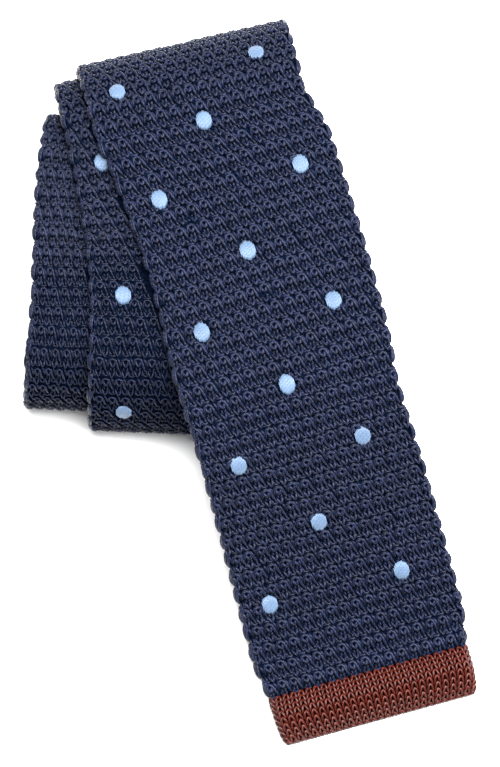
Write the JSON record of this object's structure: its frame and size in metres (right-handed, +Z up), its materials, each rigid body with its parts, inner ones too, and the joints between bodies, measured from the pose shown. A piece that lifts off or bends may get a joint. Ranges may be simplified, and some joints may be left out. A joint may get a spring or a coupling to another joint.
{
  "type": "knit tie rolled flat with embroidered pin dots and a contrast tip band",
  "caption": "Navy knitted tie with a square end, rolled flat on itself with its blade drawn out over the roll, light blue embroidered pin dots and a rust-brown knitted tip band.",
  "frame": {"origin": "on the surface that the rolled tie lies on, under the middle of its box", "axes": "+Z up, -Y towards the tip of the blade, +X to the right when the tip points to the viewer"},
  "size_m": [0.1236, 0.2016, 0.0424],
  "materials": {
    "knit_navy": "silky navy yarn in an openwork tuck stitch",
    "knit_brown": "rust-brown yarn in plain stockinette",
    "thread_blue": "glossy light blue satin stitch"
  },
  "bodies": {
    "root": {"knit_tube": "knit_navy", "tip_band": "knit_brown", "dot_01": "thread_blue", "dot_02": "thread_blue", "dot_03": "thread_blue", "dot_04": "thread_blue", "dot_05": "thread_blue", "dot_06": "thread_blue", "dot_07": "thread_blue", "dot_08": "thread_blue", "dot_09": "thread_blue", "dot_10": "thread_blue", "dot_11": "thread_blue", "dot_12": "thread_blue", "dot_13": "thread_blue", "dot_14": "thread_blue", "dot_15": "thread_blue", "dot_16": "thread_blue", "dot_17": "thread_blue", "dot_18": "thread_blue", "dot_19": "thread_blue", "dot_20": "thread_blue", "dot_21": "thread_blue", "dot_22": "thread_blue", "dot_23": "thread_blue", "dot_24": "thread_blue", "dot_25": "thread_blue", "dot_26": "thread_blue", "dot_27": "thread_blue", "dot_28": "thread_blue", "dot_29": "thread_blue", "dot_30": "thread_blue", "dot_31": "thread_blue", "dot_32": "thread_blue", "dot_33": "thread_blue", "dot_34": "thread_blue", "dot_35": "thread_blue"}
  },
  "joints": []
}
